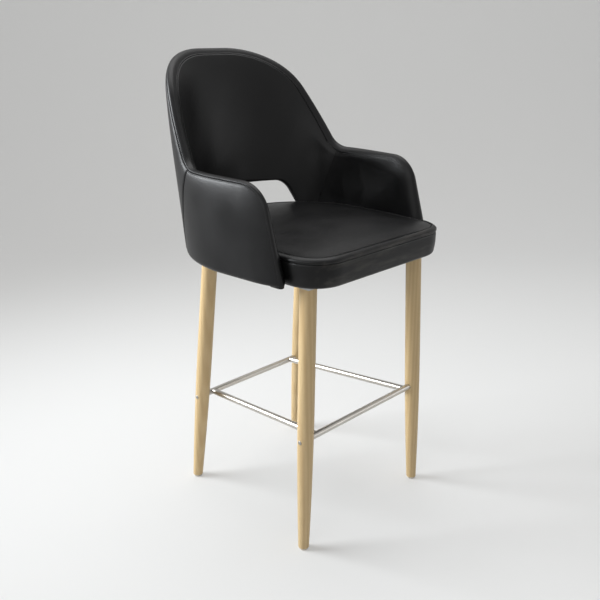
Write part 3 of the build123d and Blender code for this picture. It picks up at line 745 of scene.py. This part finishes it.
def backSheet(outer):
    # back cover round its opening: rings between the opening and the cover's own edge
    lift, bottomZ = coverEnds(outer)
    edge, _ = backEdges(lift, bottomZ)
    hole = slotLine.copy()
    hole[:, 0] = openingRun(slotLine[:, 0], slotLip if outer else -slotLip, slotLine[:, 1])
    holeAngle, edgeAngle = (np.arctan2(line[:, 1] - opening["middle"], line[:, 0] - wallMiddle)
                            for line in (hole, edge))
    inner = np.stack([np.interp(edgeAngle, holeAngle, hole[:, k], period=2 * math.pi) for k in (0, 1)], 1)
    shares = graded(covers["backRings"], fine=0.75)[None, :, None]
    grid = between(inner[:, None], edge[:, None], shares)
    u, z = grid[..., 0], grid[..., 1]
    depth, inside = coverDepth(outer, u, z)
    ringRun = np.hypot(u - u[:, :1], z - z[:, :1])
    roll = edgeRound(ringRun, padding["slotRound"])
    points = coverPoints(outer, u, z, depth - roll if outer else depth + roll, inside).reshape(-1, 3)
    faces = sheetFaces(len(edge), covers["backRings"], turned=outer, closed=True)
    held = (ringRun < covers["heldLip"]) | (z < bottomZ + covers["heldFoot"])
    if outer:
        ends = seamRun(bottomZ) + covers["foldGap"]
        foot = np.linspace(ends, wallLength - ends, covers["foldPoints"])
        fold = onWall(foot[:, None], foldDepths()[None], bottomZ)
        faces += sheetFaces(*fold.shape[:2], turned=True, start=len(points))
        points = np.vstack([points, fold.reshape(-1, 3)])
    return points, faces, held.ravel()


def armSheet(outer, side):
    lift, bottomZ = coverEnds(outer)
    edges = [edge[:, :2] for edge in armEdges(lift, bottomZ)]
    grid = patch(*edges, graded(covers["armPoints"]), graded(covers["seamPoints"]))
    u, z = grid[..., 0], grid[..., 1]
    depth, inside = coverDepth(outer, u, z)
    if outer:
        fold = np.repeat(foldDepths()[None, :-1], len(u), 0)
        u = np.hstack([np.repeat(u[:, :1], fold.shape[1], 1), u])
        z = np.hstack([np.full(fold.shape, bottomZ), z])
        depth = np.hstack([fold, depth])
    if side > 0:
        u = wallLength - u
    points = coverPoints(outer, u, z, depth, inside)
    faces = sheetFaces(*u.shape, turned=outer == (side < 0))
    return points.reshape(-1, 3), faces, (z < bottomZ + covers["heldFoot"]).ravel()


def rimLengths():
    # lengths along the rim at which the inner covers' edges have their points, foot to foot
    _, top, left, _ = armEdges(*coverEnds(False))
    _, back = backEdges(*coverEnds(False))
    arm = np.r_[left[:, 2], top[1:, 2]]
    lead = np.linspace(0, arm[0], 8, endpoint=False)
    return np.r_[lead, arm, back[::-1], rimLength - arm[-2::-1], rimLength - lead[::-1]]


def rimSheet():
    # over the rim from the outer seam to the inner pads
    t = rimLengths()
    half, crowd = tub["halfWall"], 1.8  # crowd draws the points together at the rim's top
    grid = []
    for lift in half - (half - rim["seamLift"]) * np.linspace(1, 0, 9) ** crowd:
        dip = tuck(lift - rim["seamLift"], width=0.0012) * (1 - frontness(t))
        u, z = atRim(t, lift)
        grid.append(np.stack([u, shoulderDepth(-lift, t) - dip, z], 1))
    for lift in half - (half - rim["innerLift"]) * np.linspace(0, 1, 12)[1:] ** crowd:
        u, z = atRim(t, lift)
        grid.append(np.stack([u, -bevelDepth(-lift, t), z], 1))
    flat = np.stack(grid, 1)
    # the foot of each arm's front is rounded like the outer cover beside it
    pull = edgeRound(flat[..., 2] - tub["bottom"], padding["bottomRound"])
    flat[..., 1] *= 1 - pull / half
    flat[..., 0] += np.where(t < rimLength / 2, 1, -1)[:, None] * pull
    # both feet close under the wall with a tongue that runs back to the pan
    flat = flat[[0, 0, *range(len(flat)), -1, -1]]
    flat[[0, 1, -2, -1], :, 2] = tub["bottom"]
    flat[0, :, 0], flat[-1, :, 0] = tub["tongue"], wallLength - tub["tongue"]
    points = onWall(flat[..., 0], flat[..., 1], flat[..., 2]).reshape(-1, 3)
    return points, sheetFaces(*flat.shape[:2], turned=True), np.ones(len(points), bool)


def joinSheets(name, sheets, material):
    # one cover from several sheets, sewn point to point where their edges meet
    joined = bmesh.new()
    mark = joined.verts.layers.int.new("held")
    for points, faces, held in sheets:
        made = [joined.verts.new(tuple(p)) for p in points]
        for vert, flag in zip(made, held):
            vert[mark] = int(flag)
        for face in faces:
            joined.faces.new([made[k] for k in face])
    edges = [vert for vert in joined.verts if vert.is_boundary]
    bmesh.ops.remove_doubles(joined, verts=edges, dist=covers["sewWithin"])
    joined.verts.ensure_lookup_table()
    joined.verts.index_update()
    held = [vert.index for vert in joined.verts if vert[mark]]
    points = [tuple(vert.co) for vert in joined.verts]
    faces = [tuple(vert.index for vert in face.verts) for face in joined.faces]
    joined.free()
    return sewnPiece(name, points, faces, material), held


for side, word in ((-1, "right"), (1, "left")):
    points, faces, _ = armSheet(True, side)
    outerArm = sewnPiece(f"outer_arm_cover_{word}", points, faces, "coverHide")
    thicken(outerArm)
    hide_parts(f"outer_arm_panel_{word}")

points, faces, _ = backSheet(True)
outerBack = sewnPiece("outer_back_cover", points, faces, "coverHide")
thicken(outerBack)
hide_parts("outer_back_panel")
# the inside is one cover that runs over the rim to the outer seam
innerSheets = [rimSheet(), backSheet(False), armSheet(False, -1), armSheet(False, 1)]
innerCover, seamPoints = joinSheets("inner_cover_with_rim", innerSheets, "coverHide")
sewnCloth(innerCover, seamPoints, **stuffing["inside"])
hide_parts("rim_border", "inner_back_pad", "inner_arm_pad_right", "inner_arm_pad_left")


def buildSlotLining(name, rows=9):
    # strip that lines the opening, hollow between its seams
    toMiddle = np.array([0, opening["middle"]]) - slotLine
    toMiddle /= np.linalg.norm(toMiddle, axis=1)[:, None]
    grid = []
    for depth in np.linspace(-slotLip, slotLip, rows):
        x, z = (slotLine - toMiddle * opening["hollow"] * (1 - (depth / slotLip) ** 2)).T
        grid.append(onWall(openingRun(x, depth, z), depth, z))
    points = np.stack(grid, 1).reshape(-1, 3)
    return sewnPiece(name, points, sheetFaces(len(slotLine), rows, closed=True), "coverHide")


lining = buildSlotLining("opening_border_strip")
thicken(lining, opening["stripThickness"], 1.0)
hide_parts("opening_border")
print("tub covers made")

# seat: boxing border below the seam, crowned top panel with a rolled edge above it
seat = {
    "front": 0.3188, "cornerRadius": 0.084, "gap": 0.0003,
    "seam": tub["seamHeight"], "underside": 0.676,
    "roll": 0.0165, "rollInset": 0.9, "rollSquash": 0.47, "rollFrom": -38, "rollTo": 79,  # degrees
    "edgeSwell": 0.0016, "sidePoints": 64, "rollRows": 9,
    "crownTop": 0.7490, "crownReach": 0.235, "crownPower": 2.2, "crownRounds": 40,
    "belowSeam": 0.0006, "drawIn": 0.005, "borderSwell": 0.0022, "borderFoot": 0.008, "turnUnder": 0.016,
}


def seatOutline(z, count=360):
    # closed outline at a height: the front edge, then round inside the tub
    u = np.linspace(tub["runIn"], wallLength - tub["runIn"], 400)
    wall = onWall(u, -tub["halfWall"] - seat["gap"], z)[:, :2]
    front = -seat["front"]
    radius = min(seat["cornerRadius"], wall[0, 1] - front - 0.001)
    line = filletLine([(0, front), (wall[0, 0], front), wall[0]], (radius,))
    other = filletLine([wall[-1], (wall[-1, 0], front), (0, front)], (radius,))
    return resample(np.vstack([line, wall[1:-1], other]), np.linspace(0, 1, count, endpoint=False))


def inwardNormals(loop):
    step = np.roll(loop, -1, 0) - np.roll(loop, 1, 0)
    step /= np.linalg.norm(step, axis=1)[:, None]
    inward = np.stack([step[:, 1], -step[:, 0]], 1)
    return inward if ((loop.mean(0) - loop) * inward).sum() > 0 else -inward


def levelRow(loop, z):
    return np.column_stack([loop, np.full(len(loop), z)])


def fourSides(edge, side):
    # near, far, left and right part of a closed edge
    return edge[:side + 1], edge[2 * side:3 * side + 1][::-1], edge[3 * side:][::-1], edge[side:2 * side + 1]


def crownGrid(edge, side):
    # crowned patch spanned between four parts of the rolled edge
    even = np.linspace(0, 1, side + 1)
    grid = patch(*fourSides(edge, side), even, even)
    flat = grid[..., :2].reshape(-1, 1, 2)
    away = np.linalg.norm(flat - edge[None, :-1, :2], axis=2).min(1).reshape(side + 1, side + 1)
    rise = 1 - (1 - np.clip(away / seat["crownReach"], 0, 1)) ** seat["crownPower"]
    for _ in range(seat["crownRounds"]):
        rise[1:-1, 1:-1] = (rise[:-2, 1:-1] + rise[2:, 1:-1] + rise[1:-1, :-2] + rise[1:-1, 2:]) / 4
    x, y = grid[..., 0], grid[..., 1]
    uneven = 0.0006 * np.sin(19 * x + 2) * np.sin(23 * y + 1) + 0.0004 * np.sin(41 * x - 29 * y)
    grid[..., 2] += (seat["crownTop"] - edge[0, 2] + uneven) * rise
    return grid


def buildSeatTop():
    # rolled edge from the seam, then the crowned patch inside it
    side, depth = seat["sidePoints"], seat["rollRows"]
    loop = seatOutline(seat["seam"], 4 * side)
    inward = inwardNormals(loop)
    first, last = math.radians(seat["rollFrom"]), math.radians(seat["rollTo"])
    rows = []
    for turn in np.linspace(first, last, depth):
        inset = seat["roll"] * (1 - math.cos(turn)) * seat["rollInset"] - seat["edgeSwell"] * math.cos(turn)
        lift = seat["roll"] * (math.sin(turn) - math.sin(first)) * seat["rollSquash"]
        rows.append(levelRow(loop + inward * inset, seat["seam"] + lift))
    rolled = np.stack(rows, 1)
    order = (np.arange(4 * side + 1) + side // 2) % (4 * side)
    grid = crownGrid(rolled[order, -1], side)
    # the patch shares the last points of the rolled rows along its edge
    rolledIndex = np.arange(4 * side * depth)
    index = np.zeros((side + 1, side + 1), int)
    index[1:-1, 1:-1] = len(rolledIndex) + np.arange((side - 1) ** 2).reshape(side - 1, side - 1)
    index[:, 0], index[:, -1], index[0], index[-1] = fourSides(order * depth + depth - 1, side)
    points = np.vstack([rolled.reshape(-1, 3), grid[1:-1, 1:-1].reshape(-1, 3)])
    flat = index.ravel().tolist()
    faces = sheetFaces(4 * side, depth, closed=True)
    faces += [tuple(flat[k] for k in quad) for quad in sheetFaces(side + 1, side + 1, turned=True)]
    softened = np.r_[rolledIndex[rolledIndex % depth > 3], np.arange(len(rolledIndex), len(points))]
    return points, faces, rolledIndex, softened


points, faces, rolledPoints, softPoints = buildSeatTop()
seatTop = sewnPiece("seat_top_cover", points, faces, "seatHide")
sewnCloth(seatTop, rolledPoints, **stuffing["seat"])
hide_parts("seat_top_panel")


def buildSeatBorder(name, rowCount=16, footSteps=7):
    foot = seat["borderFoot"]
    height = seat["seam"] - seat["underside"]
    rows = []
    for z in seat["seam"] - seat["belowSeam"] - (height - foot) * graded(rowCount, fine=0.5):
        share = (seat["seam"] - z) / height
        loop = seatOutline(z)
        inset = seat["drawIn"] * share - seat["borderSwell"] * math.sin(math.pi * share)
        inset += tuck(seat["seam"] - z, width=0.0018)
        rows.append(levelRow(loop + inwardNormals(loop) * inset, z))
    last = rows[-1]
    inward = inwardNormals(last[:, :2])
    for i in range(1, footSteps + 1):
        turn = math.pi / 2 * i / footSteps
        flat = last[:, :2] + inward * foot * (1 - math.cos(turn))
        rows.append(levelRow(flat, last[0, 2] - foot * math.sin(turn)))
    rows.append(levelRow(rows[-1][:, :2] + inward * seat["turnUnder"], rows[-1][0, 2]))
    points = np.stack(rows, 1).reshape(-1, 3)
    return sewnPiece(name, points, sheetFaces(len(last), len(rows), turned=True, closed=True), "seatHide")


seatBorder = buildSeatBorder("seat_boxing_cover")
thicken(seatBorder)
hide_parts("seat_border")
settleCloth()
# the crown runs softly into the rolled edge
softGroup = seatTop.vertex_groups.new(name="soft")
softGroup.add([int(i) for i in softPoints], 1.0, "REPLACE")
easeEdge = seatTop.modifiers.new("easeEdge", "SMOOTH")
easeEdge.factor = 0.5
easeEdge.iterations = 14
easeEdge.vertex_group = "soft"
seatTop.modifiers.move(1, 0)
print("seat covers made, padding settled")

# stitches: short threads that lie in two rows beside a seam
stitching = {
    "pitch": 0.0052, "length": 0.0040, "radius": 0.00042,
    "rimAway": (-0.0030, 0.0024), "rimFrom": 0.235,  # lifts beside the rim's seam, start along the rim
    "seatAway": ((-0.0030, 0.0), (0.0030, -0.0014)),  # heights beside the seat's seam, insets
    # one stitch from end to end: share of its length, height and thickness in radii
    "shape": ((-0.5, -0.9, 0.5), (-0.38, 0.15, 1.0), (0, 0.45, 1.0), (0.38, 0.15, 1.0), (0.5, -0.9, 0.5)),
    "sides": 6,
}


def stitchRow(places, normals, name):
    run = runAlong(places)
    radius, sides = stitching["radius"], stitching["sides"]
    points, faces = [], []
    for i in range(int(run[-1] / stitching["pitch"])):
        start = len(points)
        for share, lift, width in stitching["shape"]:
            at = (i + 0.5) * stitching["pitch"] + share * stitching["length"]
            place, normal = readAt(at, run, places), readAt(at, run, normals)
            normal /= np.linalg.norm(normal)
            sideways = np.cross(readAt(at + 0.001, run, places) - place, normal)
            sideways /= np.linalg.norm(sideways) + 1e-12
            for k in range(sides):
                turn = 2 * math.pi * k / sides
                points.append(place + radius * (normal * (lift + width * math.sin(turn))
                                                + sideways * width * math.cos(turn)))
        for ring in range(start, len(points) - sides, sides):
            for k in range(sides):
                a, b = ring + k, ring + (k + 1) % sides
                faces.append((a, b, b + sides, a + sides))
        faces.append(tuple(range(start, start + sides))[::-1])
        faces.append(tuple(range(len(points) - sides, len(points))))
    sewnPiece(name, points, faces, "sewingThread")


def rimThreadPlaces(lift, t):
    # where a row lies along the rim's outer seam, and the way its surface faces there
    u, z = atRim(t, lift)
    depth = shoulderDepth(-lift, t) if lift > rim["seamLift"] else outerDepth(z, *rimDistance(u, z))
    spots = onWall(u, depth, z)
    outer = onWall(u, depth + 0.001, z) - spots
    nextLift = lift + 0.0008
    nextU, nextZ = atRim(t, nextLift)
    across = onWall(nextU, shoulderDepth(-nextLift, t), nextZ) - spots
    normal = np.cross(across, np.gradient(spots, axis=0))
    normal *= np.sign((normal * outer).sum(1))[:, None]
    return spots, normal / np.linalg.norm(normal, axis=1)[:, None]


threadRun = np.linspace(stitching["rimFrom"], rimLength - stitching["rimFrom"], 900)
for number, away in enumerate(stitching["rimAway"]):
    stitchRow(*rimThreadPlaces(rim["seamLift"] + away, threadRun), f"rim_stitches_{number}")

loop = seatOutline(seat["seam"])
inward = inwardNormals(loop)
closedLoop, closedInward = np.vstack([loop, loop[:1]]), np.vstack([inward, inward[:1]])
for number, (height, inset) in enumerate(stitching["seatAway"]):
    spots = levelRow(closedLoop + closedInward * inset, seat["seam"] + height)
    stitchRow(spots, levelRow(-closedInward, 0.0), f"seat_stitches_{number}")
print("stitches made")

# floor, backdrop and light
studio = {
    "floor": (0.86, 0.86, 0.85), "floorGlow": 0.85, "glowShare": 0.42, "world": 0.26, "surround": 0.66,
    "halfWidth": 7.0, "frontEnd": -6.0, "bendFrom": 2.2, "bendRadius": 1.6, "top": 6.0, "turn": -45.6,
}
lamps = {
    "keyPanel": {"place": (-2.7, -1.0, 2.0), "size": (1.6, 1.8), "power": 12.0},
    "rightPanel": {"place": (2.1, -2.3, 0.98), "target": (0, 0.1, 1.0), "size": (2.2, 0.6), "power": 7.0},
    "backPanel": {"place": (-1.9, 2.1, 1.9), "target": (0, 0, 0.8), "size": (1.8, 1.6), "power": 34.0,
                  "spread": 75.0, "colour": (0.94, 0.97, 1.0)},
    "topPanel": {"place": (0.4, 0.5, 3.1), "size": (2.4, 2.0), "power": 38.0},
}


def seenRays(tree):
    # 1 for what the eye sees directly, in a gloss or through glass
    rays = addNode(tree, "LightPath").outputs
    seen = maths(tree, "MAXIMUM", rays["Is Camera Ray"], rays["Is Glossy Ray"])
    return maths(tree, "MAXIMUM", seen, rays["Is Transmission Ray"])


def makeFloor(name):
    tree, shader = newMaterial(name)
    shader.inputs["Base Color"].default_value = (*studio["floor"], 1)
    shader.inputs["Roughness"].default_value = 0.9
    shader.inputs["Specular IOR Level"].default_value = 0.2
    # far from the lamps the floor still looks pale
    glow = addNode(tree, "Emission", {"Color": (*studio["floor"], 1), "Strength": studio["floorGlow"]})
    share = maths(tree, "MULTIPLY", seenRays(tree), studio["glowShare"])
    both = mixShaders(tree, share, shader.outputs[0], glow.outputs[0])
    tree.links.new(both, tree.nodes["Material Output"].inputs["Surface"])


def buildStage():
    # a floor that bends up into a backdrop, turned towards the camera
    radius = studio["bendRadius"]
    bend = [(studio["bendFrom"] + radius * math.sin(a), radius - radius * math.cos(a))
            for a in np.linspace(0, math.pi / 2, 16)]
    profile = [(studio["frontEnd"], 0)] + bend + [(studio["bendFrom"] + radius, studio["top"])]
    turn = math.radians(studio["turn"])
    cosine, sine = math.cos(turn), math.sin(turn)
    points = [(x * cosine - y * sine, x * sine + y * cosine, z)
              for x in (-studio["halfWidth"], studio["halfWidth"]) for y, z in profile]
    makeFloor("paleFloor")
    meshObject("studioFloor", points, sheetFaces(2, len(profile)), "paleFloor")


def areaLight(name, place, size, power, target=(0, 0, 0.7), spread=180.0, colour=(1, 1, 1)):
    data = bpy.data.lights.new(name, "AREA")
    data.color = colour
    data.spread = math.radians(spread)
    data.shape = "RECTANGLE"
    data.size, data.size_y = size
    data.energy = power
    light = bpy.data.objects.new(name, data)
    light.location = place
    light.rotation_euler = (Vector(target) - Vector(place)).to_track_quat("-Z", "Y").to_euler()
    bpy.context.collection.objects.link(light)


def softSky():
    # the eye and the reflections see a paler surround than the one that lights the stool
    world = bpy.data.worlds.new("softStudio")
    bpy.context.scene.world = world
    world.use_nodes = True
    tree = world.node_tree
    plain = tree.nodes["Background"]
    feed(tree, plain.inputs, ((1, 1, 1), studio["world"]))
    seen = addNode(tree, "Background", {"Color": (1, 1, 1, 1), "Strength": studio["surround"]})
    both = mixShaders(tree, seenRays(tree), plain.outputs[0], seen.outputs[0])
    tree.links.new(both, tree.nodes["World Output"].inputs["Surface"])


buildStage()
for lampName, lamp in lamps.items():
    areaLight(lampName, **lamp)
softSky()
bpy.context.scene.view_settings.view_transform = "Standard"

# camera at the photograph's angle, yaw and pitch in radians
view = {"place": (-1.3480, -1.3554, 1.2020), "yaw": 0.79635, "pitch": 0.30135,
        "lens": 45.6, "sensor": 36, "shift": (-0.0021, -0.0503)}
cameraData = bpy.data.cameras.new("viewCamera")
cameraData.lens = view["lens"]
cameraData.sensor_width = view["sensor"]
cameraData.shift_x, cameraData.shift_y = view["shift"]
camera = bpy.data.objects.new("viewCamera", cameraData)
camera.location = view["place"]
camera.rotation_euler = (math.pi / 2 - view["pitch"], 0, -view["yaw"])
bpy.context.collection.objects.link(camera)
bpy.context.scene.camera = camera
print("stage, lights and camera set")

bpy.context.view_layer.update()
